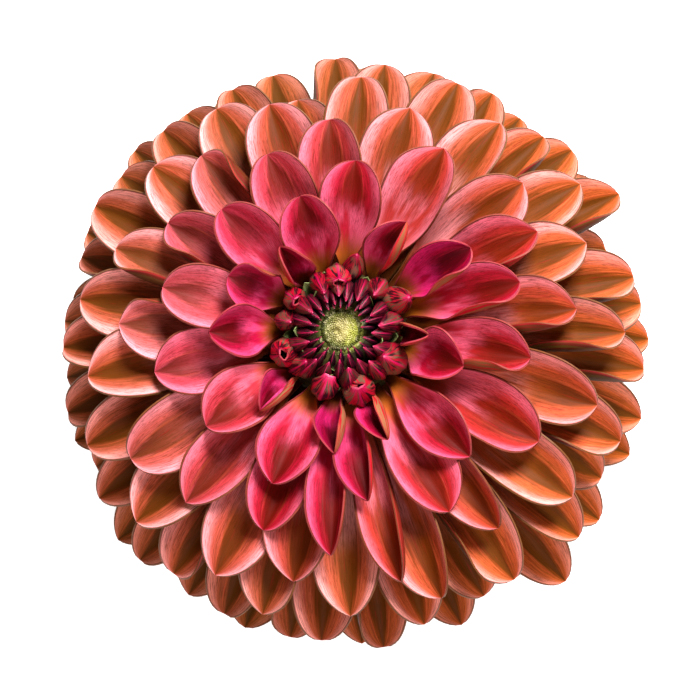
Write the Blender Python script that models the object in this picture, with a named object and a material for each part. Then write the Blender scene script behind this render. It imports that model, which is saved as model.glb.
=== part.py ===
# A dahlia bloom cut with a stub of its stem, lying face up on its lowest petals.
# Metres. +Z runs up the flower's axis; the origin is on the surface, under the stem.

import math
import random

import bmesh
import bpy
from mathutils import Vector

MM = 0.001
GAP = 0.3 * MM  # clearance between neighbouring pieces
UP = Vector((0, 0, 1))

# The head is the rounded end of the stem that every floret grows from.
HEAD_RADIUS = 13.5 * MM
HEAD_HEIGHT = 32.0 * MM  # its centre above the surface
EYE_RADIUS = 5.3 * MM
EYE_ANGLE = math.asin(EYE_RADIUS / HEAD_RADIUS)
EYE_GRAINS = 29
PITH_RADIUS = 4.4 * MM  # ball at the head's middle, which the rings of florets stand round
FLORET_AREA = 4.8 * MM * MM  # share of the head's surface that one floret stands on
TIER_STEP = math.radians(8)  # bare band of the head between two rings of florets

# Florets are numbered outwards. Those below 0 are the small buds round the eye.
SMALL_BUDS = 40
FIRST_OPENING = 6  # first floret whose roll has begun to open
FIRST_INNER = 15  # first petal of the magenta ring
FIRST_OUTER = 43  # first petal of the coral layers
FIRST_KEELED = 76  # first of the low petals, folded along the middle
FLORETS = 137
FIRST_AZIMUTH = math.radians(177.46)
GOLDEN_ANGLE = math.radians(137.47)  # each floret stands this far clockwise of the last
NO_FLORET = (10, 12, 14, 16, 19, 23, 26, 34, 35)  # places on the spiral left empty
STILL_SHUT = (6, 9)  # opening florets that are rolled shut as the buds are
PLUMPEST = 0.42  # share of a bud's length at which it is widest
BUD_DRAWN_IN = 1.3  # mm that the tip of a large bud leans in towards the eye
BUD_ARCH = math.radians(24)  # how far a large bud's foot leans out, to arch over the ring inside
PLUMP_BUDS = {-38: 1.25, -25: 1.2, -17: 1.15, -9: 1.15, -6: 1.25, -4: 1.15, 1: 1.1, 2: 1.2,
              4: 1.5, 5: 0.95, 6: 0.95, 7: 1.3, 8: 0.9, 9: 1.2}  # times the usual bud radius

# Knots of the layers, one for every 20 florets from floret 0
KNOT_STEP = 20
TIP_RADIUS = (9.0, 24.1, 39.0, 51.0, 58.2, 61.0, 61.8, 62.0)  # mm from the layer's middle
TIP_HEIGHT = (50.0, 48.5, 46.0, 41.0, 33.5, 23.0, 9.0, -4.0)  # mm above the surface
LAYER_SHIFT = (1.5, 2.6, 3.6, 3.9, 3.2, 1.9, 0.5, -0.8)  # mm that a layer stands to one side
HALF_WIDTH = (4.0, 6.0, 7.2, 7.7, 7.8, 7.6, 7.4, 7.2)  # mm, measured round the blade's curve
CLAW_LEAN = (3, 7, 11, 12, 10, 4, -4, -11)  # degrees that the claw leans up from the head's normal
TIP_WAY = (-20, 72, 96, 108, 116, 122, 122, 108)  # degrees from +Z that the tip ends at
SHIFT_AZIMUTH = math.radians(-60)
INNER_LIFT = 1.9  # mm that the magenta ring stands clear of the coral layers
LOWEST_TIP = 0.32 * MM  # height of the midline's end where a petal lies on the surface
BLADE = 0.7 * MM  # petal thickness
SUNK = 2.0 * MM  # depth of a floret's foot in the head

# The stem and the bracts under the head
HEAD_BOTTOM = math.radians(102.5)  # angle from +Z where the florets end and the green starts
STEM_RADIUS = 4.3 * MM
FLARE_START = 17.0 * MM
FLARE_END = 29.0 * MM
FLARE_RADIUS = 11.2 * MM
SEAT_RADIUS = HEAD_RADIUS - 1.5 * MM  # distance of the flare's rim from the head's middle
SEAT_STEPS = 6  # steps of the pith ball's profile
STEM_BEVEL = 0.3 * MM
CUT_FACE = 0.5 * MM  # height of the stem's cut face
COLLAR = 1.2 * MM  # thickness of the band that a ring of bracts grows from
BRACT_THICKNESS = 0.8 * MM
BRACT_ROWS = (0, 0.35, 0.7, 1)

# The two rings of bracts. low and high bound the collar; foot, rise, fall and tip are the
# midline's (radius, height). All are in mm but turn, in degrees, and cup.
OUTER_BRACTS = dict(count=5, turn=0, low=18.4, high=20.8, foot=(7.3, 19.6), rise=(11, 21),
                    fall=(15, 18), tip=(15.5, 9), half_width=3.2, cup=0.15)
INNER_BRACTS = dict(count=8, turn=13.5, low=22.4, high=25.2, foot=(9.9, 24), rise=(14, 26),
                    fall=(19, 24.5), tip=(22, 21), half_width=3.6, cup=0.12)

# Florets that stand off the rule or have a side rolled in. turn is in degrees, reach in mm,
# and clockwise and anticlockwise are how far, in degrees, each side of the blade curls.
ODD_FLORETS = {
    0: dict(turn=-8, reach=3.0),
    1: dict(turn=7, reach=1.4),
    2: dict(turn=-8, reach=0.8),
    3: dict(turn=-12, reach=-0.8),
    4: dict(turn=-18, reach=-1.5),
    5: dict(turn=9, reach=-2.2),
    6: dict(turn=4, reach=3.0),
    7: dict(turn=-8, reach=-1.4),
    8: dict(turn=-14, reach=-1.4),
    9: dict(turn=7, reach=-0.6),
    11: dict(turn=-13, reach=-4.5),
    13: dict(turn=8, reach=-4.0),
    15: dict(turn=-7, reach=3.4, clockwise=62, anticlockwise=140),
    17: dict(turn=-2, reach=-5.0, width=0.8, clockwise=105, anticlockwise=105),
    18: dict(turn=2, clockwise=60, anticlockwise=160),
    20: dict(turn=-14, reach=-1.8, clockwise=66, anticlockwise=150),
    21: dict(turn=8, reach=3.0),
    22: dict(reach=5.5),
    24: dict(turn=5, reach=-4.0, clockwise=85, anticlockwise=125),
    25: dict(turn=5, reach=-3.6, clockwise=70, anticlockwise=70),
    27: dict(turn=-7, reach=-2.6, clockwise=145, anticlockwise=55),
    28: dict(turn=-8, reach=2.6, clockwise=58, anticlockwise=135),
    29: dict(reach=-3.4),
    30: dict(turn=2, reach=5.0, width=0.93),
    31: dict(turn=11),
    32: dict(turn=6, reach=-2.0),
    33: dict(turn=-4, clockwise=48, anticlockwise=100),
    36: dict(reach=7.0, clockwise=75, anticlockwise=125),
    39: dict(turn=-2, reach=-5.0),
    40: dict(turn=5, reach=-1.6),
    41: dict(turn=1.5, width=0.92),
    43: dict(reach=3.4),
    47: dict(turn=-6, reach=-3.4),
    49: dict(turn=4, reach=4.0, clockwise=65, anticlockwise=120),
    54: dict(turn=-4, clockwise=46, anticlockwise=100),
    62: dict(turn=-2, reach=2.0, clockwise=50, anticlockwise=85),
    84: dict(reach=2.5),
    87: dict(reach=-6.0),
    96: dict(reach=-3.0),
    98: dict(reach=3.2),
    101: dict(reach=-3.2),
    109: dict(reach=3.8),
    115: dict(reach=-2.4),
    119: dict(reach=-4.5),
    126: dict(reach=2.5),
    128: dict(reach=2.0),
    130: dict(reach=-3.4),
}


def along(knots, number):
    # A smooth curve through the knots, read at this floret.
    last = len(knots) - 1
    x = min(max(number / KNOT_STEP, 0.0), last)
    i = min(int(x), last - 1)
    t = x - i
    a, b = knots[i], knots[i + 1]
    before = knots[i - 1] if i > 0 else 2 * a - b
    after = knots[i + 2] if i + 2 <= last else 2 * b - a
    return 0.5 * (2 * a + (b - before) * t + (2 * before - 5 * a + 4 * b - after) * t * t
                  + (3 * a - before - 3 * b + after) * t ** 3)


def outwards(azimuth):
    return Vector((math.cos(azimuth), math.sin(azimuth), 0))


def leaning(azimuth, angle):
    # The way that leans by angle from +Z towards azimuth.
    return outwards(azimuth) * math.sin(angle) + UP * math.cos(angle)


def head_angle(number):
    # Angle from +Z of a floret's foot: every floret has an equal share of its ring's band.
    whole = 2 * math.pi * HEAD_RADIUS ** 2
    eye = whole * (1 - math.cos(EYE_ANGLE))
    bands = 0.5 + (number >= FIRST_INNER) + (number >= FIRST_OUTER)
    return math.acos(1 - (eye + FLORET_AREA * (number + SMALL_BUDS)) / whole) + bands * TIER_STEP


def head_point(azimuth, angle, depth=0.0):
    return UP * HEAD_HEIGHT + leaning(azimuth, angle) * (HEAD_RADIUS - depth)


class Floret:
    # One floret's midline, width and curl, worked out from its number.
    def __init__(self, number):
        draw = random.Random(500 + number)
        odd = ODD_FLORETS.get(number, {})
        azimuth = FIRST_AZIMUTH - GOLDEN_ANGLE * number
        azimuth += math.radians(2.3 * math.cos(azimuth) + 3.9 * math.sin(azimuth))
        azimuth += math.radians(odd.get("turn", draw.uniform(-1.5, 1.5)))
        foot_angle = head_angle(number)
        inside = max(0.0, -number / SMALL_BUDS)  # 0 at the first large bud, 1 at the eye
        opened = max(0, number - FIRST_OPENING)
        bud = number < FIRST_OPENING
        radius = along(TIP_RADIUS, number) - 4.9 * inside
        radius -= BUD_DRAWN_IN * bud * math.sqrt(1 - inside)
        height = along(TIP_HEIGHT, number) - 2.5 * inside
        claw_way = foot_angle - math.radians(along(CLAW_LEAN, number) + 12 * inside)
        claw_way += BUD_ARCH * bud * (1 - inside)
        tip_way = along(TIP_WAY, number) - 30 * inside - 30 * bud
        radius += odd.get("reach", draw.uniform(-0.8, 0.8) if number > 36 else 0.0)
        tip = outwards(azimuth) * radius * MM
        tip += outwards(SHIFT_AZIMUTH) * along(LAYER_SHIFT, number) * (1 - inside) * MM
        if FIRST_INNER <= number < FIRST_OUTER:
            height += INNER_LIFT
        tip.z = max(height * MM, LOWEST_TIP)
        foot = head_point(azimuth, foot_angle)
        length = (tip - foot).length
        self.number = number
        self.azimuth = azimuth
        self.length = length
        self.sink = SUNK / length
        self.foot = foot
        self.foot_handle = foot + leaning(azimuth, claw_way) * length * 0.34
        self.tip_handle = tip - leaning(azimuth, math.radians(tip_way)) * length * 0.3
        self.tip = tip
        width = odd.get("width", draw.uniform(0.95, 1.05))
        self.half_width = along(HALF_WIDTH, number) * MM * width
        self.bud_radius = (0.6 + 1.5 * max(0, 1 + number / SMALL_BUDS) ** 1.2) * MM
        self.bud_radius *= PLUMP_BUDS.get(number, 1)
        self.roll = math.radians(draw.uniform(-8, 8)) if number > 20 else 0.0
        curl = 44 + 62 * math.exp(-opened / 9) + draw.uniform(-7, 7)
        self.clockwise = math.radians(odd.get("clockwise", curl))
        self.anticlockwise = math.radians(odd.get("anticlockwise", curl))

    def midline(self, u):
        # A cubic curve from the foot to the tip, and straight down into the head below it.
        if u < 0:
            return self.foot + (self.foot - UP * HEAD_HEIGHT).normalized() * u * self.length
        a, b, c, d = self.foot, self.foot_handle, self.tip_handle, self.tip
        v = 1 - u
        return a * v ** 3 + b * 3 * v * v * u + c * 3 * v * u * u + d * u ** 3

    def frame(self, u):
        # The blade's way along, its way across and its inner face's normal.
        u = max(u, 0)
        step = 0.01
        way = (self.midline(min(u + step, 1)) - self.midline(max(u - step, 0))).normalized()
        across = outwards(self.azimuth + math.pi / 2)
        across = (across - way * across.dot(way)).normalized()
        inward = way.cross(across)
        turn = self.roll * u
        return (way, across * math.cos(turn) + inward * math.sin(turn),
                inward * math.cos(turn) - across * math.sin(turn))

    def petal_point(self, u, v):
        # A point of the blade: u runs from foot to tip, v from edge to edge.
        centre = self.midline(u)
        way, across, inward = self.frame(u)
        width = self.half_width * petal_outline(u)
        curl = self.anticlockwise if v > 0 else self.clockwise
        claw = math.radians(12 + 70 * smooth_step(u / 0.15))
        curl = claw + (curl - claw) * smooth_step(u / 0.4)
        bend = curl * abs(v)
        side = math.copysign(width / curl * math.sin(bend), v)
        return centre + across * side + inward * (width / curl * (1 - math.cos(bend)))

    def bud_point(self, u, angle):
        # A point on the skin of a floret that is still a closed, pointed roll.
        centre = self.midline(u)
        way, across, inward = self.frame(u)
        swell = self.bud_radius
        if u < PLUMPEST:
            swell *= 0.5 + 0.5 * smooth_step(u / PLUMPEST)
        else:
            swell *= (1 - ((u - PLUMPEST) / (1 - PLUMPEST)) ** 1.7) ** 0.9
        return centre + (across * math.cos(angle) + inward * math.sin(angle)) * swell


def smooth_step(x):
    x = min(max(x, 0.0), 1.0)
    return x * x * (3 - 2 * x)


def petal_outline(u):
    # Share of the full half width: a narrow claw, a broad blade and a pointed tip.
    widest = 0.7
    claw = 0.13
    if u < widest:
        return claw + (1 - claw) * smooth_step((u + 0.06) / (widest + 0.06))
    x = (u - widest) / (1 - widest)
    return (1 - x * x) ** 0.62


def material(name, colour, roughness):
    made = bpy.data.materials.new(name)
    made.use_nodes = True
    shader = made.node_tree.nodes["Principled BSDF"]
    shader.inputs["Base Color"].default_value = (*colour, 1)
    shader.inputs["Roughness"].default_value = roughness
    shader.inputs["Metallic"].default_value = 0
    return made


def new_object(name, mesh, collection=None):
    made = bpy.data.objects.new(name, mesh)
    (collection or bpy.context.scene.collection).objects.link(made)
    return made


def mesh_from(name, bm):
    bmesh.ops.triangulate(bm, faces=bm.faces[:])
    bmesh.ops.recalc_face_normals(bm, faces=bm.faces[:])
    mesh = bpy.data.meshes.new(name)
    bm.to_mesh(mesh)
    bm.free()
    return mesh


def turned(name, profile, steps):
    # A solid turned about +Z from (radius, height) points.
    bm = bmesh.new()
    points = [bm.verts.new((radius, 0, height)) for radius, height in profile]
    edges = [bm.edges.new(pair) for pair in zip(points, points[1:])]
    if profile[0][0] > 0:
        edges.append(bm.edges.new((points[-1], points[0])))
    bmesh.ops.spin(bm, geom=points + edges, cent=(0, 0, 0), axis=(0, 0, 1),
                   angle=2 * math.pi, steps=steps, use_merge=True)
    bmesh.ops.remove_doubles(bm, verts=bm.verts[:], dist=0.001 * MM)
    return mesh_from(name, bm)


def blade(name, point, rows, columns, thickness):
    # A thin closed blade: point(u, v) gives its middle surface.
    bm = bmesh.new()
    bmesh.ops.create_grid(bm, x_segments=len(rows) - 1, y_segments=len(columns) - 1, size=1)
    for vert in bm.verts:
        i = round((vert.co.x + 1) / 2 * (len(rows) - 1))
        j = round((vert.co.y + 1) / 2 * (len(columns) - 1))
        vert.co = point(rows[i], columns[j])
    bmesh.ops.remove_doubles(bm, verts=bm.verts[:], dist=0.01 * MM)
    bmesh.ops.triangulate(bm, faces=bm.faces[:])
    bm.normal_update()
    for vert in bm.verts:
        vert.co -= vert.normal * thickness / 2
    bmesh.ops.solidify(bm, geom=bm.faces[:], thickness=-thickness)
    return mesh_from(name, bm)


def petal(floret):
    number = floret.number
    sink = -floret.sink
    if number < FIRST_OUTER:
        rows = (sink, 0.22, 0.5, 0.74, 0.92, 1)
    else:
        rows = (sink, 0.42, 0.72, 0.92, 1)
    if max(floret.clockwise, floret.anticlockwise) > math.radians(75):
        columns = (-1, -0.5, 0, 0.5, 1)
    elif number < FIRST_KEELED:
        columns = (-1, -0.4, 0.4, 1)
    else:
        columns = (-1, 0, 1)
    return blade("petal_%d" % number, floret.petal_point, rows, columns, BLADE)


def bud(floret):
    sides = 5 if floret.number >= 0 else 4
    bm = bmesh.new()
    bmesh.ops.create_uvsphere(bm, u_segments=sides, v_segments=4, radius=1)
    for vert in bm.verts:
        angle = math.atan2(vert.co.y, vert.co.x)
        u = math.acos(max(-1, min(1, -vert.co.z))) / math.pi
        u = (1 + floret.sink) * u - floret.sink
        vert.co = floret.bud_point(u, angle)
    return mesh_from("bud", bm)


def fuse(name, core, pieces, surface):
    # Join repeats to the core that they grow from, as one solid body.
    body = new_object(name, core)
    repeats = bpy.data.collections.new(name + "_repeats")
    bpy.context.scene.collection.children.link(repeats)
    loose = [new_object(mesh.name, mesh, repeats) for mesh in pieces]
    union = body.modifiers.new("Union", "BOOLEAN")
    union.operation = "UNION"
    union.operand_type = "COLLECTION"
    union.collection = repeats
    union.solver = "MANIFOLD"
    depsgraph = bpy.context.evaluated_depsgraph_get()
    joined = bpy.data.meshes.new_from_object(body.evaluated_get(depsgraph))
    body.modifiers.remove(union)
    body.data = joined
    for piece in loose:
        bpy.data.objects.remove(piece)
    bpy.data.collections.remove(repeats)
    keep_largest(joined)
    finish(body, surface)
    return body


def keep_largest(mesh):
    # Drop loose scraps, and sealed hollows with them.
    bm = bmesh.new()
    bm.from_mesh(mesh)
    seen = set()
    groups = []
    for start in bm.verts:
        if start in seen:
            continue
        seen.add(start)
        group = [start]
        for vert in group:
            for edge in vert.link_edges:
                other = edge.other_vert(vert)
                if other not in seen:
                    seen.add(other)
                    group.append(other)
        groups.append(group)
    groups.sort(key=len)
    for group in groups[:-1]:
        bmesh.ops.delete(bm, geom=group, context="VERTS")
    bm.to_mesh(mesh)
    bm.free()


def finish(body, surface):
    body.data.materials.clear()
    body.data.materials.append(surface)
    body.data.shade_smooth()
    body.data.set_sharp_from_angle(angle=math.radians(40))


def core(name, top, bottom):
    # The ring of the head between two cones about its centre, GAP clear of its neighbours.
    def on_cone(angle, distance, shift):
        return (distance * math.sin(angle) - shift * math.cos(angle),
                HEAD_HEIGHT + distance * math.cos(angle) + shift * math.sin(angle))

    inner = PITH_RADIUS + 2 * GAP
    steps = 4
    profile = [on_cone(bottom, inner, GAP / 2), on_cone(bottom, HEAD_RADIUS, GAP / 2)]
    profile += [on_cone(bottom + (top - bottom) * i / steps, HEAD_RADIUS, 0)
                for i in range(1, steps)]
    if top > 0:
        profile += [on_cone(top, HEAD_RADIUS, -GAP / 2), on_cone(top, inner, -GAP / 2)]
    else:
        profile = [(0, HEAD_HEIGHT + inner)] + profile + [(0, HEAD_HEIGHT + HEAD_RADIUS)]
    return turned(name, profile, 20)


def between(first):
    # The bare band's middle angle just above the ring that begins with this floret.
    return (head_angle(first) + head_angle(first - 1)) / 2


def ring_of_petals(name, first, last, surface):
    top = between(first)
    bottom = between(last) if last < FLORETS else HEAD_BOTTOM
    petals = [petal(Floret(number)) for number in range(first, last)
              if number not in NO_FLORET]
    return fuse(name, core(name, top, bottom), petals, surface)


def rolled_florets(surface):
    # The buds round the eye and the larger rolled florets outside them.
    pieces = []
    for number in range(-SMALL_BUDS, FIRST_INNER):
        if number in NO_FLORET:
            continue
        floret = Floret(number)
        shut = number < FIRST_OPENING or number in STILL_SHUT
        pieces.append(bud(floret) if shut else petal(floret))
    ring = core("rolled_florets", EYE_ANGLE, between(FIRST_INNER))
    return fuse("rolled_florets", ring, pieces, surface)


def eye(surface):
    # Closed green florets: grains in the middle, pointed scales leaning in round the edge.
    pieces = []
    for i in range(EYE_GRAINS):
        edge = math.sqrt((i + 0.5) / EYE_GRAINS)
        azimuth = GOLDEN_ANGLE * i
        angle = 0.9 * EYE_ANGLE * edge
        width = (0.4 + 0.25 * edge) * MM
        height = (0.7 + 1.1 * edge ** 3) * MM
        foot = head_point(azimuth, angle, 0.35 * MM)
        way = leaning(azimuth, angle - 1.1 * edge ** 2)
        across = outwards(azimuth + math.pi / 2)
        bm = bmesh.new()
        bmesh.ops.create_uvsphere(bm, u_segments=4, v_segments=2, radius=1)
        for vert in bm.verts:
            x, y, z = vert.co
            vert.co = foot + (across * x + way.cross(across) * y) * width
            vert.co += way * height * (z + 1) / 2
        pieces.append(mesh_from("grain", bm))
    return fuse("eye", core("eye", 0, EYE_ANGLE), pieces, surface)


def stem(surface):
    # The stub of stem, its flare under the head and the pith that the florets' rings stand on.
    pith = [(PITH_RADIUS * math.sin(HEAD_BOTTOM * i / SEAT_STEPS),
             HEAD_HEIGHT + PITH_RADIUS * math.cos(HEAD_BOTTOM * i / SEAT_STEPS))
            for i in range(SEAT_STEPS + 1)]
    below = GAP / 2  # the flare's rim and seat keep this far under the lowest ring's cone
    rim = (SEAT_RADIUS * math.sin(HEAD_BOTTOM) + below * math.cos(HEAD_BOTTOM),
           HEAD_HEIGHT + SEAT_RADIUS * math.cos(HEAD_BOTTOM) - below * math.sin(HEAD_BOTTOM))
    seat = (PITH_RADIUS * math.sin(HEAD_BOTTOM) + below * math.cos(HEAD_BOTTOM),
            HEAD_HEIGHT + PITH_RADIUS * math.cos(HEAD_BOTTOM) - below * math.sin(HEAD_BOTTOM))
    profile = [(0, CUT_FACE), (STEM_RADIUS - STEM_BEVEL, CUT_FACE),
               (STEM_RADIUS, CUT_FACE + STEM_BEVEL),
               (flare_radius(FLARE_START), FLARE_START), (FLARE_RADIUS, FLARE_END), rim, seat]
    body = new_object("stem", turned("stem", profile + pith[-2::-1], 16))
    finish(body, surface)
    return body


def flare_radius(height):
    # The stem widens evenly from FLARE_START to FLARE_END.
    share = (height - FLARE_START) / (FLARE_END - FLARE_START)
    return STEM_RADIUS + (FLARE_RADIUS - STEM_RADIUS) * share


def collar(name, low, high):
    # A band round the stem's flare, clear of it.
    inner = [(flare_radius(z) + 1.8 * GAP, z) for z in (low, high)]
    outer = [(r + COLLAR, z) for r, z in inner]
    return turned(name, [inner[0], outer[0], outer[1], inner[1]], 16)


class Bract:
    # One bract of a ring, reflexed from its collar.
    def __init__(self, ring, number):
        turn = ring["turn"] + 360 * number / ring["count"]
        draw = random.Random(100 * ring["count"] + number)
        self.ring = ring
        self.azimuth = math.radians(turn)
        self.stretch = draw.uniform(0.92, 1.05)

    def point(self, u, v):
        ring = self.ring
        w = 1 - u
        reach, height = (ring["foot"][k] * w ** 3 + ring["rise"][k] * 3 * w * w * u
                         + ring["fall"][k] * 3 * w * u * u + ring["tip"][k] * u ** 3
                         for k in (0, 1))
        reach = ring["foot"][0] + (reach - ring["foot"][0]) * self.stretch
        width = ring["half_width"] * (0.75 + 0.25 * math.sin(math.pi * u)) * (1 - u ** 3) ** 0.6
        across = outwards(self.azimuth + math.pi / 2) * width * v
        return (outwards(self.azimuth) * reach + UP * height + across
                + UP * width * ring["cup"] * v * v) * MM


def bracts(name, ring, surface):
    pieces = [blade("bract", Bract(ring, number).point, BRACT_ROWS, (-1, 0, 1), BRACT_THICKNESS)
              for number in range(ring["count"])]
    return fuse(name, collar(name, ring["low"] * MM, ring["high"] * MM), pieces, surface)


def main():
    for old in list(bpy.data.objects):
        bpy.data.objects.remove(old)
    coral = material("coral_petal", (0.72, 0.20, 0.12), 0.5)
    magenta = material("magenta_petal", (0.62, 0.03, 0.13), 0.5)
    maroon = material("maroon_bud", (0.25, 0.02, 0.05), 0.55)
    green_eye = material("green_eye", (0.50, 0.52, 0.18), 0.6)
    green_stem = material("green_stem", (0.16, 0.26, 0.07), 0.6)
    papery = material("papery_bract", (0.42, 0.40, 0.20), 0.6)
    ring_of_petals("outer_petals", FIRST_OUTER, FLORETS, coral)
    ring_of_petals("inner_petals", FIRST_INNER, FIRST_OUTER, magenta)
    rolled_florets(maroon)
    eye(green_eye)
    stem(green_stem)
    bracts("outer_bracts", OUTER_BRACTS, green_stem)
    bracts("inner_bracts", INNER_BRACTS, papery)


main()
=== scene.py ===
# A dahlia bloom seen from above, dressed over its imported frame.
from math import acos, asin, atan, copysign, cos, degrees, exp, pi, radians, sin, sqrt, tan
from random import Random

import bmesh
import bpy
from mathutils import Matrix, Vector, noise
from mathutils.bvhtree import BVHTree


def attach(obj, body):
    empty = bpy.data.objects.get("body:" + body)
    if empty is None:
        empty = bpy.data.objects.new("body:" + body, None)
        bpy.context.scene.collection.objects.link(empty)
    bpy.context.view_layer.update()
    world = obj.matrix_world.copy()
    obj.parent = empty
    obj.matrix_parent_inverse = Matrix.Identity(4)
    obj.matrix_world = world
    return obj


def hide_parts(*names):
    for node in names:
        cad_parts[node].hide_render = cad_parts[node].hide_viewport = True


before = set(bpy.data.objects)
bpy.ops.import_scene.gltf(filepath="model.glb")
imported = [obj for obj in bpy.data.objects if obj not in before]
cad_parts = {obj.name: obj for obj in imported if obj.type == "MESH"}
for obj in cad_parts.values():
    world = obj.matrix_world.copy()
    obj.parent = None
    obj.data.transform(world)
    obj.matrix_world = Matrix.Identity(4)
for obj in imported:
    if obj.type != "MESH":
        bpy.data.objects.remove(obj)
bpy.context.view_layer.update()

mm = 0.001
up = Vector((0, 0, 1))
scene = bpy.context.scene
print("frame loaded:", sorted(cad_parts))

# The camera stands where the photograph was taken from: a little below the flower's axis.
cameraSetup = {
    "distance": 0.85,  # from the eye, in metres
    "lean": 8,  # degrees between the view and the flower's axis
    "leanAzimuth": -60,
    "aim": (0, 0, 0.045),
    "millimetresPerPixel": 0.2027,
    "pictureWidth": 700,
    "eyeColumn": 341,  # where the eye shows in the photograph
    "eyeRow": 330,
    "clipStart": 0.01,
}


def placeCamera(setup):
    camera = bpy.data.cameras.new("camera")
    holder = bpy.data.objects.new("camera", camera)
    scene.collection.objects.link(holder)
    lean = tan(radians(setup["lean"]))
    azimuth = radians(setup["leanAzimuth"])
    back = Vector((lean * cos(azimuth), lean * sin(azimuth), 1)).normalized()
    right = Vector((0, 1, 0)).cross(back).normalized()
    turned = Matrix((right, back.cross(right), back)).transposed().to_4x4()
    turned.translation = Vector(setup["aim"]) + back * setup["distance"]
    holder.matrix_world = turned
    half = setup["pictureWidth"] / 2
    camera.angle = 2 * atan(half * setup["millimetresPerPixel"] * mm / setup["distance"])
    camera.shift_x = (half - setup["eyeColumn"]) / setup["pictureWidth"]
    camera.shift_y = (setup["eyeRow"] - half) / setup["pictureWidth"]
    camera.clip_start = setup["clipStart"]
    scene.camera = holder


studio = {
    "lightsAimAt": (0, 0, 0.03),
    "keyFrom": (0.27, 0.50, 0.70),  # a soft box over the upper right of the picture
    "keySize": 0.38,
    "keyPower": 24,
    "keyColour": (1, 0.97, 0.97),
    "fillFrom": (0.12, -0.65, 0.6),  # a weaker one over its lower edge
    "fillSize": 0.5,
    "fillPower": 4.6,
    "fillColour": (1, 0.8, 0.84),
    "skyStrength": 0.335,
    "skyColour": (1, 0.70, 0.36),
    "floorColour": (0.92, 0.92, 0.92, 1),
    "floorGlow": 0.8,
    "glowColour": (0.9, 0.96, 1, 1),
    "floorSize": 2,
}


def addLight(kind, setup):
    light = bpy.data.lights.new(kind + "Light", "AREA")
    light.size = setup[kind + "Size"]
    light.energy = setup[kind + "Power"]
    light.color = setup[kind + "Colour"]
    holder = bpy.data.objects.new(kind + "Light", light)
    scene.collection.objects.link(holder)
    holder.location = setup[kind + "From"]
    way = Vector(setup["lightsAimAt"]) - holder.location
    holder.rotation_euler = way.to_track_quat("-Z", "Y").to_euler()


def setStudio(setup):
    addLight("key", setup)
    addLight("fill", setup)
    world = bpy.data.worlds.new("studio")
    scene.world = world
    world.use_nodes = True
    sky = world.node_tree.nodes["Background"]
    sky.inputs["Color"].default_value = (*setup["skyColour"], 1)
    sky.inputs["Strength"].default_value = setup["skyStrength"]
    scene.view_settings.view_transform = "Standard"


def operator(operation, swapped=False):
    def apply(self, other=0):
        pair = (other, self) if swapped else (self, other)
        return self.shader.maths(operation, *pair)
    return apply


class Value:
    # A wrapped socket, so that shader maths is written as expressions.
    def __init__(self, shader, socket):
        self.shader = shader
        self.socket = socket

    __add__ = operator("ADD")
    __radd__ = operator("ADD", True)
    __sub__ = operator("SUBTRACT")
    __rsub__ = operator("SUBTRACT", True)
    __mul__ = operator("MULTIPLY")
    __rmul__ = operator("MULTIPLY", True)
    __pow__ = operator("POWER")
    __abs__ = operator("ABSOLUTE")


def tint(red, green, blue):
    # A colour as seen on screen, 0 to 255, as the light that the shaders mix.
    return tuple(c / 12.92 if c <= 0.04045 else ((c + 0.055) / 1.055) ** 2.4
                 for c in (red / 255, green / 255, blue / 255))


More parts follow.
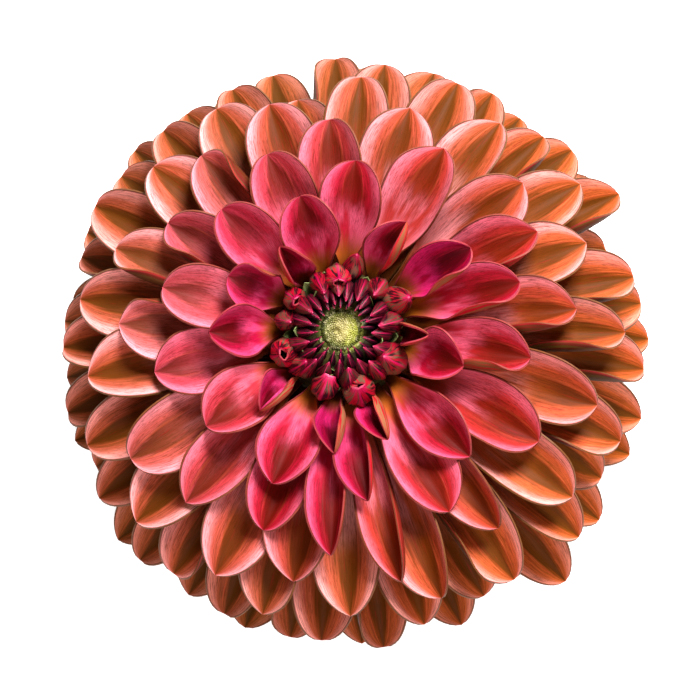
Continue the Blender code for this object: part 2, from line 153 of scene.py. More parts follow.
class Shader:
    def __init__(self, name):
        self.material = bpy.data.materials.new(name)
        self.material.use_nodes = True
        self.nodes = self.material.node_tree.nodes
        self.links = self.material.node_tree.links
        self.skin = self.nodes["Principled BSDF"]

    def node(self, kind, inputs=None, **settings):
        made = self.nodes.new(kind)
        for key, value in settings.items():
            setattr(made, key, value)
        for key, value in (inputs or {}).items():
            self.feed(made.inputs[key], value)
        return made

    def value(self, kind, inputs=None, output=0, **settings):
        return Value(self, self.node(kind, inputs, **settings).outputs[output])

    def feed(self, socket, value):
        if isinstance(value, Value):
            self.links.new(value.socket, socket)
        elif isinstance(value, tuple) and len(value) == 3:
            socket.default_value = (*tint(*value), 1)
        else:
            socket.default_value = value

    def maths(self, operation, a, b=0):
        return self.value("ShaderNodeMath", {0: a, 1: b}, operation=operation)

    def mix(self, share, a, b):
        return self.value("ShaderNodeMix", {0: share, 6: a, 7: b}, 2, data_type="RGBA")

    def rise(self, value, low, high):
        return self.value("ShaderNodeMapRange", {"Value": value, "From Min": low, "From Max": high},
                          interpolation_type="SMOOTHSTEP")

    def fall(self, value, low, high):
        return 1 - self.rise(value, low, high)

    def ramp(self, value, stops):
        made = self.node("ShaderNodeValToRGB", {0: value})
        elements = made.color_ramp.elements
        while len(elements) < len(stops):
            elements.new(1)
        for element, (position, colour) in zip(elements, stops.items()):
            element.position = position
            element.color = (*tint(*colour), 1)
        return Value(self, made.outputs[0])

    def cover(self, colour, *coats):
        # Each coat goes over what is there, as far as its mask says.
        for mask, coat in coats:
            colour = self.mix(mask, colour, coat)
        return colour

    def grain(self, x, y, z, detail=3):
        place = self.value("ShaderNodeCombineXYZ", {0: x, 1: y, 2: z})
        return self.value("ShaderNodeTexNoise", {"Vector": place, "Scale": 1, "Detail": detail,
                                                 "Roughness": 0.6})

    def parts(self, value):
        made = self.node("ShaderNodeSeparateXYZ", {0: value})
        return [Value(self, part) for part in made.outputs]

    def uv(self):
        u, v = self.parts(self.value("ShaderNodeUVMap", uv_map="place"))[:2]
        return u, v * 2 - 1

    def place(self):
        return self.parts(self.value("ShaderNodeTexCoord", output="Object"))

    def attribute(self, name):
        return self.value("ShaderNodeAttribute", output="Fac", attribute_name=name)

    def bump(self, height, distance, strength):
        made = self.node("ShaderNodeBump",
                         {"Height": height, "Distance": distance, "Strength": strength})
        self.links.new(made.outputs[0], self.skin.inputs["Normal"])

    def finish(self, colour, roughness, shine, **constants):
        self.feed(self.skin.inputs["Base Color"], colour)
        self.feed(self.skin.inputs["Roughness"], roughness)
        self.skin.inputs["Specular IOR Level"].default_value = shine
        for key, value in constants.items():
            self.skin.inputs[key].default_value = value
        return self.material


# The rule that places the florets, as the solids follow it. Sizes are in mm.
head = {
    "radius": 13.5,
    "height": 32,
    "eyeRadius": 5.3,
    "floretArea": 4.8,
    "tierStep": radians(8),
    "bottom": radians(102.5),
    "smallBuds": 40,
    "firstOpening": 6,
    "firstInner": 15,
    "firstOuter": 43,
    "florets": 137,
    "firstAzimuth": radians(177.46),
    "goldenAngle": radians(137.47),
    "empty": (10, 12, 14, 16, 19, 23, 26, 34, 35),
}
head["eyeAngle"] = asin(head["eyeRadius"] / head["radius"])

layers = {  # a knot for every 20 florets
    "knotStep": 20,
    "tipRadius": (9, 24.1, 39, 51, 58.2, 61, 61.8, 62),
    "tipHeight": (50, 48.5, 46, 41, 33.5, 23, 9, -4),
    "shift": (1.5, 2.6, 3.6, 3.9, 3.2, 1.9, 0.5, -0.8),
    "shiftAzimuth": radians(-60),
    "halfWidth": (4, 6, 7.2, 7.7, 7.8, 7.6, 7.4, 7.2),
    "clawLean": (3, 7, 11, 12, 10, 4, -4, -11),
    "tipWay": (-20, 72, 96, 108, 116, 122, 122, 108),
    "innerLift": 1.9,
    "lowestTip": 0.32,
}

floretShape = {  # angles in degrees; "young" grows from the last bud to the eye
    "sway": (2.3, 3.9),  # how far the spiral is stretched along +X and +Y
    "turn": 1.5,
    "reach": 0.8,
    "reachFrom": 36,
    "width": (0.95, 1.05),
    "roll": 8,
    "rollFrom": 20,
    "curl": (44, 62, 9, 7),  # last, more at first, florets for that to fade, most by chance
    "handles": (0.34, 0.3),  # share of the length
    "youngReach": 4.9,
    "youngHeight": 2.5,
    "youngClaw": 12,
    "youngTip": 30,
    "budReach": 1.3,
    "budClaw": 24,
    "budTip": 30,
    "budRadius": (0.6, 1.5, 1.2),  # smallest, growth and its power
}

oddFlorets = {  # by number, what the photograph shows off the rule
    "turn": {  # degrees
        0: -8, 1: 7, 2: -8, 3: -12, 4: -18, 5: 9, 6: 4, 7: -8, 8: -14, 9: 7, 11: -13, 13: 8, 15: -7,
        17: -2, 18: 2, 20: -14, 21: 8, 24: 5, 25: 5, 27: -7, 28: -8, 30: 2, 31: 11, 32: 6, 33: -4,
        39: -2, 40: 5, 41: 1.5, 47: -6, 49: 4, 54: -4, 62: -2
    },
    "reach": {  # mm
        0: 3, 1: 1.4, 2: 0.8, 3: -0.8, 4: -1.5, 5: -2.2, 6: 3, 7: -1.4, 8: -1.4, 9: -0.6, 11: -4.5,
        13: -4, 15: 3.4, 17: -5, 20: -1.8, 21: 3, 22: 5.5, 24: -4, 25: -3.6, 27: -2.6, 28: 2.6,
        29: -3.4, 30: 5, 32: -2, 36: 7, 39: -5, 40: -1.6, 43: 3.4, 47: -3.4, 49: 4, 62: 2, 84: 2.5,
        87: -6, 96: -3, 98: 3.2, 101: -3.2, 109: 3.8, 115: -2.4, 119: -4.5, 126: 2.5, 128: 2,
        130: -3.4
    },
    "width": {17: 0.8, 30: 0.93, 41: 0.92},
    "curls": {  # degrees that the clockwise and the other side curl
        15: (62, 140), 17: (105, 105), 18: (60, 160), 20: (66, 150), 24: (85, 125), 25: (70, 70),
        27: (145, 55), 28: (58, 135), 33: (48, 100), 36: (75, 125), 49: (65, 120), 54: (46, 100),
        62: (50, 85)
    },
}

plumpBuds = {-38: 1.25, -25: 1.2, -17: 1.15, -9: 1.15, -6: 1.25, -4: 1.15, 1: 1.1, 2: 1.2,
             4: 1.5, 5: 0.95, 6: 0.95, 7: 1.3, 8: 0.9, 9: 1.2}
mouthed = (2, 7, 8, 11, 13)  # rolls whose mouth has opened at the tip


def along(name, number):
    knots = layers[name]
    last = len(knots) - 1
    x = min(max(number / layers["knotStep"], 0), last)
    i = min(int(x), last - 1)
    t = x - i
    a, b = knots[i], knots[i + 1]
    before = knots[i - 1] if i > 0 else 2 * a - b
    after = knots[i + 2] if i + 2 <= last else 2 * b - a
    return 0.5 * (2 * a + (b - before) * t + (2 * before - 5 * a + 4 * b - after) * t * t
                  + (3 * a - before - 3 * b + after) * t ** 3)


def outwards(azimuth):
    return Vector((cos(azimuth), sin(azimuth), 0))


def leaning(azimuth, angle):
    return outwards(azimuth) * sin(angle) + up * cos(angle)


def ease(x):
    # 0 below 0, 1 above 1 and an easy curve between
    x = min(max(x, 0), 1)
    return x * x * (3 - 2 * x)


def bow(a, b, c, d, u):
    w = 1 - u
    return a * w ** 3 + b * 3 * w * w * u + c * 3 * w * u * u + d * u ** 3


def headAngle(number):
    whole = 2 * pi * head["radius"] ** 2
    eyeCap = whole * (1 - cos(head["eyeAngle"]))
    bands = 0.5 + (number >= head["firstInner"]) + (number >= head["firstOuter"])
    used = eyeCap + head["floretArea"] * (number + head["smallBuds"])
    return acos(1 - used / whole) + bands * head["tierStep"]


def headPoint(azimuth, angle, depth=0):
    return up * head["height"] + leaning(azimuth, angle) * (head["radius"] - depth)


class Floret:
    def __init__(self, number):
        draw = Random(500 + number)  # the same draws as the solids, in the same order
        shape = floretShape
        azimuth = head["firstAzimuth"] - head["goldenAngle"] * number
        stretchX, stretchY = shape["sway"]
        azimuth += radians(stretchX * cos(azimuth) + stretchY * sin(azimuth))
        chance = draw.uniform(-shape["turn"], shape["turn"])
        azimuth += radians(oddFlorets["turn"].get(number, chance))
        footAngle = headAngle(number)
        young = max(0, -number / head["smallBuds"])
        opened = max(0, number - head["firstOpening"])
        bud = number < head["firstOpening"]
        radius = along("tipRadius", number) - shape["youngReach"] * young
        radius -= shape["budReach"] * bud * max(1 - young, 0) ** 0.5
        height = along("tipHeight", number) - shape["youngHeight"] * young
        clawLean = along("clawLean", number) + shape["youngClaw"] * young
        clawWay = footAngle - radians(clawLean)
        clawWay += radians(shape["budClaw"]) * bud * (1 - young)
        tipWay = along("tipWay", number) - shape["youngTip"] * young - shape["budTip"] * bud
        chance = draw.uniform(-shape["reach"], shape["reach"]) if number > shape["reachFrom"] else 0
        radius += oddFlorets["reach"].get(number, chance)
        tip = self.tip = outwards(azimuth) * radius
        tip += outwards(layers["shiftAzimuth"]) * along("shift", number) * (1 - young)
        if head["firstInner"] <= number < head["firstOuter"]:
            height += layers["innerLift"]
        tip.z = max(height, layers["lowestTip"])
        foot = self.foot = headPoint(azimuth, footAngle)
        length = self.length = (tip - foot).length
        footShare, tipShare = shape["handles"]
        self.number = number
        self.azimuth = azimuth
        self.footHandle = foot + leaning(azimuth, clawWay) * length * footShare
        self.tipHandle = tip - leaning(azimuth, radians(tipWay)) * length * tipShare
        self.halfWidth = along("halfWidth", number)
        self.halfWidth *= oddFlorets["width"].get(number, draw.uniform(*shape["width"]))
        smallest, growing, power = shape["budRadius"]
        self.budRadius = smallest + growing * max(0, 1 + number / head["smallBuds"]) ** power
        self.budRadius *= plumpBuds.get(number, 1)
        rolled = number > shape["rollFrom"]
        self.roll = radians(draw.uniform(-shape["roll"], shape["roll"])) if rolled else 0
        last, atFirst, fading, chance = shape["curl"]
        curl = last + atFirst * exp(-opened / fading) + draw.uniform(-chance, chance)
        self.curls = [radians(side) for side in oddFlorets["curls"].get(number, (curl, curl))]
        self.luck = Random(900 + number).random()

    def midline(self, u):
        # Below the foot it runs straight into the head.
        if u < 0:
            return self.foot + (self.foot - up * head["height"]).normalized() * u * self.length
        return bow(self.foot, self.footHandle, self.tipHandle, self.tip, u)

    def frame(self, u):
        u = max(u, 0)
        step = 0.01
        way = (self.midline(min(u + step, 1)) - self.midline(max(u - step, 0))).normalized()
        across = outwards(self.azimuth + pi / 2)
        across = (across - way * across.dot(way)).normalized()
        inward = way.cross(across)
        turn = self.roll * u
        return (way, across * cos(turn) + inward * sin(turn),
                inward * cos(turn) - across * sin(turn))


petalShape = {
    "thickness": 0.34,  # mm
    "sunk": 1,  # mm of foot inside the head
    "widest": 0.7,
    "claw": 0.13,
    "tipBulge": 2.3,
    "tipPower": (0.62, 0.9),  # 0.5 is round, 1 is straight to the point
    "broader": 1.09,  # beyond the solid, which the cupping takes back
    "moreCurl": 14,  # most degrees that a petal is cupped beyond its solid
    "fold": 150,  # degrees that a folded margin turns over and shows its reverse
    "foldFrom": 0.4,  # share of the side that stays unfolded
    "mostFolds": (0.7, 1.1),  # how much of the fold a facing side has
    "someFolds": (0.4, 0.9),  # and a side that folds by chance
    "highest": 52.8,  # mm, just under the top of the solids
    "foldedAzimuth": 15,  # most petals that point this way fold their clockwise side
    "lastFacing": 100,  # the lowest petals don't
    "foldedShare": 0.22,  # of the petals elsewhere, on one side or the other
    "plain": radians(75),  # a petal curled further than this stays narrow and unfolded
    "special": radians(110),  # sides curled further than this keep most of their curl
    "tight": 2.2,  # radians; half as much again of what is beyond this
    "steps": 24,
    "settleTurns": 22,
    "keel": 20,  # degrees that each half of the blade folds up at the keel
    "keelFold": 0.12,  # how much tighter the blade folds at its tip
    "clawCurl": (12, 70),  # degrees at the foot, and how much more above the claw
    "ripple": 0.34,  # mm
    "edgeRipple": 0.4,
    "rib": 0.08,  # mm that the two ribs stand up
    "ribAt": 0.30,
}


def petalOutline(u, power):
    shape = petalShape
    if u < shape["widest"]:
        eased = ease((u + 0.06) / (shape["widest"] + 0.06))
        return shape["claw"] + (1 - shape["claw"]) * eased
    x = (u - shape["widest"]) / (1 - shape["widest"])
    return max(1 - x ** shape["tipBulge"], 0) ** power


class PetalSurface:
    # The blade's middle surface; u runs from foot to tip, v from edge to edge.
    def __init__(self, floret):
        shape = petalShape
        draw = Random(1300 + floret.number)
        self.floret = floret
        self.rows = {}
        self.seed = floret.number * 3.7
        self.profiles = {}
        plain = max(floret.curls) < shape["plain"]
        self.widths = [shape["broader"] if plain else 1] * 2
        facing = max(0, cos(floret.azimuth - radians(shape["foldedAzimuth"]))) ** 4
        facing *= draw.uniform(*shape["mostFolds"]) * (floret.number < shape["lastFacing"])
        folds = [facing, 0]
        if draw.random() < shape["foldedShare"]:
            folds[draw.random() < 0.5] = draw.uniform(*shape["someFolds"])
        self.folds = [plain * radians(shape["fold"]) * fold for fold in folds]
        self.curls = [curl + plain * radians(shape["moreCurl"]) * draw.random()
                      + max(curl - shape["tight"], 0) * 0.5 for curl in floret.curls]
        self.tipPower = draw.uniform(*shape["tipPower"])
        self.leastCurls = [curl * (0.85 if curl > shape["special"] else 0.5) for curl in self.curls]

    def loosen(self, side):
        # Uncurl one side a little, and once it is loose make it narrower.
        self.folds[side] *= 0.9
        self.curls[side] *= 0.95
        if self.curls[side] < self.leastCurls[side]:
            self.curls[side] = self.leastCurls[side]
            self.widths[side] *= 0.97
        self.profiles.clear()

    def profile(self, u, side):
        # How far out and up the blade has come at each step across its side.
        if (u, side) not in self.profiles:
            shape = petalShape
            curl = self.curls[side]
            atFoot, more = shape["clawCurl"]
            claw = radians(atFoot + more * ease(u / 0.15))
            curl = claw + (curl - claw) * ease(u / 0.4)
            if curl < 1.5:
                curl *= 1 + shape["keelFold"] * ease((u - 0.7) / 0.3)
            keel = min(radians(shape["keel"]), curl * 0.4) * ease((u - 0.35) / 0.5)
            fold = self.folds[side] * ease((u - 0.35) / 0.3) * ease((1 - u) / 0.3)
            places = [(0, 0)]
            for step in range(shape["steps"]):
                share = (step + 0.5) / shape["steps"]
                folded = ease((share - shape["foldFrom"]) / (1 - shape["foldFrom"]))
                angle = keel + (curl - keel) * share + fold * folded
                reach, lift = places[-1]
                places.append((reach + cos(angle) / shape["steps"],
                               lift + sin(angle) / shape["steps"]))
            self.profiles[u, side] = places
        return self.profiles[u, side]

    def row(self, u):
        if u not in self.rows:
            floret = self.floret
            width = floret.halfWidth * petalOutline(u, self.tipPower)
            self.rows[u] = (floret.midline(u), *floret.frame(u), width)
        return self.rows[u]

    def __call__(self, u, v):
        shape = petalShape
        centre, way, across, inward, width = self.row(u)
        size = abs(v)
        places = self.profile(u, v > 0)
        width *= self.widths[v > 0]
        step = min(int(size * shape["steps"]), shape["steps"] - 1)
        share = size * shape["steps"] - step
        side, lift = (width * (a + (b - a) * share)
                      for a, b in zip(places[step], places[step + 1]))
        spread = ease(u / 0.35) * ease((1 - u) / 0.12)
        rib = exp(-((size - shape["ribAt"]) / 0.07) ** 2) * ease((u - 0.3) / 0.4)
        lift += shape["rib"] * rib * spread
        lift += shape["ripple"] * spread * noise.noise(Vector((u * 2.4, v * 1.6, self.seed)))
        lift += (shape["edgeRipple"] * spread * size ** 3
                 * noise.noise(Vector((u * 6.5, v * 2, self.seed + 50))))
        return centre + across * copysign(side, v) + inward * lift


def halfBlade(surface, side):
    # A coarse copy of one side of a blade, to test it against its neighbours, and its top.
    bm = bmesh.new()
    bmesh.ops.create_grid(bm, x_segments=9, y_segments=6, size=1)
    for vert in bm.verts:
        u = 0.3 + 0.7 * (vert.co.x + 1) / 2
        vert.co = surface(u, side * (vert.co.y + 1.0001) / 2)
    tree = BVHTree.FromBMesh(bm)
    top = max(vert.co.z for vert in bm.verts)
    bm.free()
    return tree, top


def settlePetals(surfaces):
    # A side that comes up through a petal above it, or out at the top, uncurls until it is clear.
    sides = [(number, side) for number in sorted(surfaces) for side in (-1, 1)]
    blades = {key: halfBlade(surfaces[key[0]], key[1]) for key in sides}
    pairs = [(above, below) for above in sides for below in sides
             if 0 < below[0] - above[0] < 60 and apart(surfaces, above[0], below[0]) < 42]
    for turn in range(petalShape["settleTurns"]):
        crossing = {below for above, below in pairs if blades[above][0].overlap(blades[below][0])}
        crossing |= {key for key in sides if blades[key][1] > petalShape["highest"]}
        for number, side in sorted(crossing):
            surfaces[number].loosen(side > 0)
            blades[number, side] = halfBlade(surfaces[number], side)
        print("settling", turn, len(crossing), "sides cross")
        if not crossing:
            break


def apart(surfaces, a, b):
    turn = degrees(surfaces[a].floret.azimuth - surfaces[b].floret.azimuth)
    return abs((turn + 180) % 360 - 180)


class RollSurface:
    # A roll whose mouth has opened: the margins part towards the tip and leave a hood.
    def __init__(self, floret):
        self.floret = floret
        self.rows = {}

    def __call__(self, u, v):
        shape = rollShape
        floret = self.floret
        if u not in self.rows:
            x = max(0, (u - shape["mouthFrom"]) / (1 - shape["mouthFrom"]))
            wrap = radians(shape["wrap"]) * max(1 - x ** 3.2, 0) ** 0.6
            swell = floret.budRadius * (0.5 + 0.5 * ease(u / 0.42))
            swell *= 1 - shape["narrowing"] * ease((u - 0.62) / 0.38)
            centre = floret.midline(u)
            way, across, inward = floret.frame(u)
            centre += inward * shape["hook"] * floret.budRadius * x ** 2.2
            self.rows[u] = (centre, across, inward, wrap, swell, x)
        centre, across, inward, wrap, swell, x = self.rows[u]
        angle = wrap * v
        swell *= 1 + 0.12 * v + shape["flare"] * x * abs(v) ** 3
        swell *= 1 + 0.10 * exp(-(v / 0.05) ** 2) * ease(u / 0.3)
        swell *= 1 + 0.04 * cos(7 * angle) * ease(u / 0.4)
        thin = 1 - shape["flat"] * ease((u - 0.4) / 0.5)
        return centre + (across * sin(angle) - inward * cos(angle) * thin) * swell


rollShape = {
    "mouthFrom": 0.58,
    "wrap": 194,  # degrees that each side wraps
    "narrowing": 0.62,
    "flat": 0.35,  # how far the roll is pressed flat at its mouth
    "hook": 0.9,  # how far the tip bends over the mouth, in radii
    "flare": 0.08,
    "tone": 0.16,  # where their colour lies on the petals' ramps
    "thickness": 0.3,
    "rows": 36,
    "columns": 40,
}


def newMesh():
    bm = bmesh.new()
    bm.loops.layers.uv.new("place")
    for name in ("layer", "luck", "grown"):
        bm.verts.layers.float.new(name)
    return bm


def addPatch(bm, rows, columns, surface, tone, luck, rowAt=lambda t: t, start=0, grown=1,
             crowd=1):
    # A grid whose corners stand where surface(u, v) says; u from start to 1, v from -1 to 1.
    # A crowd above 1 moves the columns towards the margins.
    made = bmesh.ops.create_grid(bm, x_segments=rows, y_segments=columns, size=1)["verts"]
    uvLayer = bm.loops.layers.uv["place"]
    layerOf, luckOf, grownOf = bm.verts.layers.float.values()
    where = {}
    for vert in made:
        u = start + (1 - start) * rowAt(round((vert.co.x + 1) / 2, 6))
        v = round(vert.co.y, 6)
        where[vert] = (u, copysign(1 - (1 - abs(v)) ** crowd, v))
    for face in {face for vert in made for face in vert.link_faces}:
        for loop in face.loops:
            u, v = where[loop.vert]
            loop[uvLayer].uv = (u, (v + 1) / 2)
    for vert, (u, v) in where.items():
        vert.co = surface(u, v) * mm
        vert[layerOf] = tone(u) if callable(tone) else tone
        vert[luckOf] = luck
        vert[grownOf] = grown
    bmesh.ops.remove_doubles(bm, verts=made, dist=0.004 * mm)


def newObject(name, bm, materials):
    mesh = bpy.data.meshes.new(name)
    bm.to_mesh(mesh)
    bm.free()
    for material in materials:
        mesh.materials.append(material)
    made = bpy.data.objects.new(name, mesh)
    scene.collection.objects.link(made)
    return made


def newPiece(name, bm, materials, node, thickness=0, sharp=55):
    # A thickness turns blades into solids with the reverse and the rim in their own finishes.
    if not thickness:
        bmesh.ops.recalc_face_normals(bm, faces=bm.faces[:])
    piece = newObject(name, bm, materials)
    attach(piece, "root")
    if node:
        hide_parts(node)
    if thickness:
        wall = piece.modifiers.new("wall", "SOLIDIFY")
        wall.thickness = thickness * mm
        wall.offset = 0
        wall.material_offset = 1
        wall.material_offset_rim = 2
        depsgraph = bpy.context.evaluated_depsgraph_get()
        done = bpy.data.meshes.new_from_object(piece.evaluated_get(depsgraph))
        piece.modifiers.clear()
        piece.data = done
    piece.data.shade_smooth()
    piece.data.set_sharp_from_angle(angle=radians(sharp))
    print(name, len(piece.data.polygons), "faces")


# Besides the petals' own colours, these hold painted shade, a painted highlight on the margins and
# painted warm light on the right side.
petalColours = {  # stops from the heart to the lowest layer
    "lit": {0: (80, 0, 28), 0.14: (142, 0, 50), 0.3: (168, 20, 44),
            0.5: (188, 88, 70), 1: (160, 86, 44)},
    # paler margins and base, which on the margins also paint a highlight
    "pale": {0: (130, 6, 56), 0.14: (210, 38, 112), 0.3: (234, 108, 140),
             0.5: (247, 172, 176), 0.75: (228, 148, 134), 1: (204, 126, 98)},
    # painted shade in each petal's cupped middle, towards the tip
    "paintedShade": {0: (26, 0, 8), 0.14: (70, 0, 6), 0.3: (106, 8, 0), 0.5: (116, 50, 0), 1: (92, 50, 0)},
    # painted shade in the keel fold at the tip, also the colour of the dark streaks
    "keelShade": {0: (26, 0, 8), 0.14: (60, 0, 6), 0.3: (78, 12, 0), 0.5: (76, 40, 2), 1: (62, 38, 4)},
    "throat": {0: (40, 14, 4), 0.2: (150, 84, 10), 0.4: (150, 74, 20), 1: (120, 66, 16)},
    "footShade": (44, 14, 4),
    # painted warm light: orange lit, pale, shaded and heart copies for the petals on the right side
    "warmLit": (204, 92, 20),
    "warmLitPale": (250, 150, 104),
    "warmPaintedShade": (116, 54, 0),
    "warmLitHeart": (150, 6, 24),
    "rib": (206, 92, 56),
    "edge": (84, 40, 10),
    "fleck": (150, 16, 24),
}


def petalSkin(name):
    look = petalColours
    s = Shader(name)
    u, v = s.uv()
    size = abs(v)
    layer = s.attribute("layer")
    luck = s.attribute("luck")
    x, y = s.place()[:2]
    tone = layer + (luck - 0.5) * 0.08
    streaks = s.grain(u * 3, v * 12 + luck * 40, luck * 90)
    threads = s.grain(u * 6.5, v * 30 + luck * 60, luck * 50 + 7)
    hairs = s.grain(u * 9, v * 56 + luck * 80, luck * 20 + 3, 2)
    specks = s.grain(u * 24, v * 46 + luck * 70, luck * 30 + 5, 2)
    cloud = s.grain(u * 2.6 + luck * 30, v * 1.8, luck * 70, 2)
    outer = s.rise(layer, 0.2, 0.5)
    # Painted warm light: the petals on the right side of the flower are tinted orange.
    rightWarmLight = s.rise(x - y * 0.25, -0.015, 0.05)
    cool = s.fall(x - y * 0.3, -0.05, 0) * s.rise(layer, 0.12, 0.3) * s.fall(layer, 0.36, 0.5)
    # Painted shade: the cupped middle of each blade darkens towards the tip, a little less on the
    # left side of the middle layers.
    bellyShade = s.fall(size + (streaks - 0.5) * 0.7, 0.12, 0.66)
    bellyShade *= s.rise(u + (cloud - 0.5) * 0.5, 0.3, 0.66)
    base = s.fall(abs(u - 0.42), 0.05, 0.3) * s.rise(cloud, 0.4, 0.62)
    # A pale margin: partly the petals' own paler edge, partly a painted highlight where the raised
    # margins catch the light.
    rim = s.rise(size + (cloud - 0.5) * 0.4 + (threads - 0.5) * 0.4, 0.5, 0.95)
    rim *= s.rise(u, 0.15, 0.45)
    # Painted shade: a dark wedge along the keel fold towards the tip.
    keelShade = s.fall(size + (streaks - 0.5) * 0.2 - (1 - u) * 1.1, 0, 0.16) * s.rise(u, 0.5, 0.86)
    lined = 0.3 + 0.7 * s.rise(u + (cloud - 0.5) * 0.6, 0.25, 0.7)
    ribLine = s.fall(abs(size - 0.3), 0.012, 0.05) * s.rise(u, 0.4, 0.75) * s.fall(u, 0.93, 1)
    flecks = s.rise(threads, 0.58, 0.64) * s.rise(streaks, 0.45, 0.6) * s.rise(u, 0.3, 0.6)
    throat = s.fall(u + streaks * 0.15, 0.22, 0.5)
    pale = s.mix(rightWarmLight * outer * 0.2, s.ramp(tone, look["pale"]), look["warmLitPale"])
    paintedShade = s.mix(rightWarmLight * outer * 0.8, s.ramp(tone, look["paintedShade"]), look["warmPaintedShade"])
    # the painted keel shade, also used for the dark streaks, hairs and specks
    dark = s.ramp(tone, look["keelShade"])
    colour = s.cover(
        s.ramp(tone, look["lit"]),
        (rightWarmLight * outer * 0.5, look["warmLit"]),
        (rightWarmLight * (1 - outer) * 0.5, look["warmLitHeart"]),
        (bellyShade * (0.85 - cool * 0.2), paintedShade),
        (cool * 0.25, pale),
        (base * 0.62, pale),
        (rim * 0.92, pale),
        (keelShade * 0.8, dark),
        (s.rise(threads, 0.52, 0.6) * 0.38 * lined, dark),
        (s.rise(hairs, 0.54, 0.6) * 0.4 * lined, dark),
        (s.fall(hairs, 0.38, 0.46) * 0.16 * rim, pale),
        (s.rise(specks, 0.56, 0.61) * 0.5 * lined, dark),
        (s.fall(specks, 0.36, 0.43) * 0.25 * rim, pale),
        (ribLine * 0.2 * outer, look["rib"]),
        (flecks * 0.4, look["fleck"]),
        (throat * 0.85, s.ramp(layer, look["throat"])),
        (s.fall(u, 0, 0.22) * 0.8, look["footShade"]),
        (s.rise(size, 0.942, 0.972) * 0.88, look["edge"]))
    s.bump(streaks * 0.6 + threads * 0.35 + ribLine * 0.7, 0.12 * mm, 0.6)
    return s.finish(colour, 0.45 + streaks * 0.2, 0.07)


reverseColours = {
    "base": {0: (116, 78, 60), 0.14: (134, 92, 60), 0.3: (92, 50, 24),
             0.5: (70, 46, 8), 1: (80, 50, 16)},
    "vein": {0: (130, 0, 26), 0.2: (168, 4, 30), 0.45: (84, 20, 6), 1: (66, 30, 8)},
    "foot": (60, 50, 14),
    "rim": (170, 40, 44),
}


def reverseSkin(name):
    look = reverseColours
    s = Shader(name)
    u, v = s.uv()
    size = abs(v)
    layer = s.attribute("layer")
    luck = s.attribute("luck")
    bent = v + (s.grain(u * 4, v * 3, luck * 40, 1) - 0.5) * 0.16
    lines = s.grain(u * 2.2, bent * 15 + luck * 30, luck * 80, 2)
    threads = s.grain(u * 6, bent * 40, luck * 60, 2)
    vein = s.ramp(layer, look["vein"])
    colour = s.cover(
        s.ramp(layer, look["base"]),
        (s.rise(lines, 0.5, 0.55), vein),
        (s.rise(threads, 0.52, 0.58) * 0.6, vein),
        (s.rise(size, 0.93, 0.99) * 0.6, look["rim"]),
        (s.fall(u, 0.12, 0.5) * 0.75, look["foot"]))
    s.bump(lines * 0.7 + threads * 0.4, 0.14 * mm, 0.7)
    return s.finish(colour, 0.5 + threads * 0.15, 0.14)


def edgeSkin(name, inner, outer):
    s = Shader(name)
    layer = s.attribute("layer")
    u, v = s.uv()
    mottled = s.grain(u * 30, v * 3, layer * 50, 2)
    colour = s.cover(
        inner,
        (s.rise(layer, 0.1, 0.5), outer),
        (s.rise(mottled, 0.4, 0.7) * 0.35, (70, 40, 16)))
    return s.finish(colour, 0.55 + mottled * 0.1, 0.25)


petalPieces = (  # name, node, slot, first and last floret, rows, columns
    ("innerPetals", "inner_petals", "magenta_petal", 15, 43, 36, 24),
    ("upperPetals", "outer_petals", "coral_petal", 43, 74, 34, 20),
    ("middlePetals", "outer_petals", "coral_petal", 74, 106, 30, 18),
    ("lowerPetals", "outer_petals", "coral_petal", 106, 137, 28, 16),
)


def addPetals(skins):
    surfaces = {number: PetalSurface(Floret(number))
                for number in range(head["firstInner"], head["florets"])
                if number not in head["empty"]}
    settlePetals(surfaces)
    for name, node, slot, first, last, rows, columns in petalPieces:
        bm = newMesh()
        for number in range(first, last):
            if number in surfaces:
                floret = surfaces[number].floret
                start = -petalShape["sunk"] / floret.length
                addPatch(bm, rows, columns, surfaces[number], number / head["florets"],
                         floret.luck, lambda t: 1 - (1 - t) ** 1.25, start, crowd=1.25)
        newPiece(name, bm, skins, node, petalShape["thickness"])


def growth(number):
    # 0 at the smallest bud and 1 at the last roll
    return (number + head["smallBuds"]) / (head["firstInner"] + head["smallBuds"])


def addRolls(skins):
    bm = newMesh()
    for number in mouthed:
        floret = Floret(number)
        start = -petalShape["sunk"] / floret.length
        addPatch(bm, rollShape["rows"], rollShape["columns"], RollSurface(floret),
                 rollShape["tone"], floret.luck, start=start, grown=growth(number))
    newPiece("openingFlorets", bm, skins, "rolled_florets", rollShape["thickness"])


budShape = {
    "rows": 24,
    "columns": 24,
    "sunk": 1,
    "plumpest": 0.42,
    "taper": 1.45,
    "seamStep": 0.14,  # how far the outer margin stands proud at the seam
    "ridge": 0.12,  # the midrib that runs down the back from the tip
    "grooves": 0.035,
    "youngest": range(30, 41),
    "youngestSize": 0.75,
}


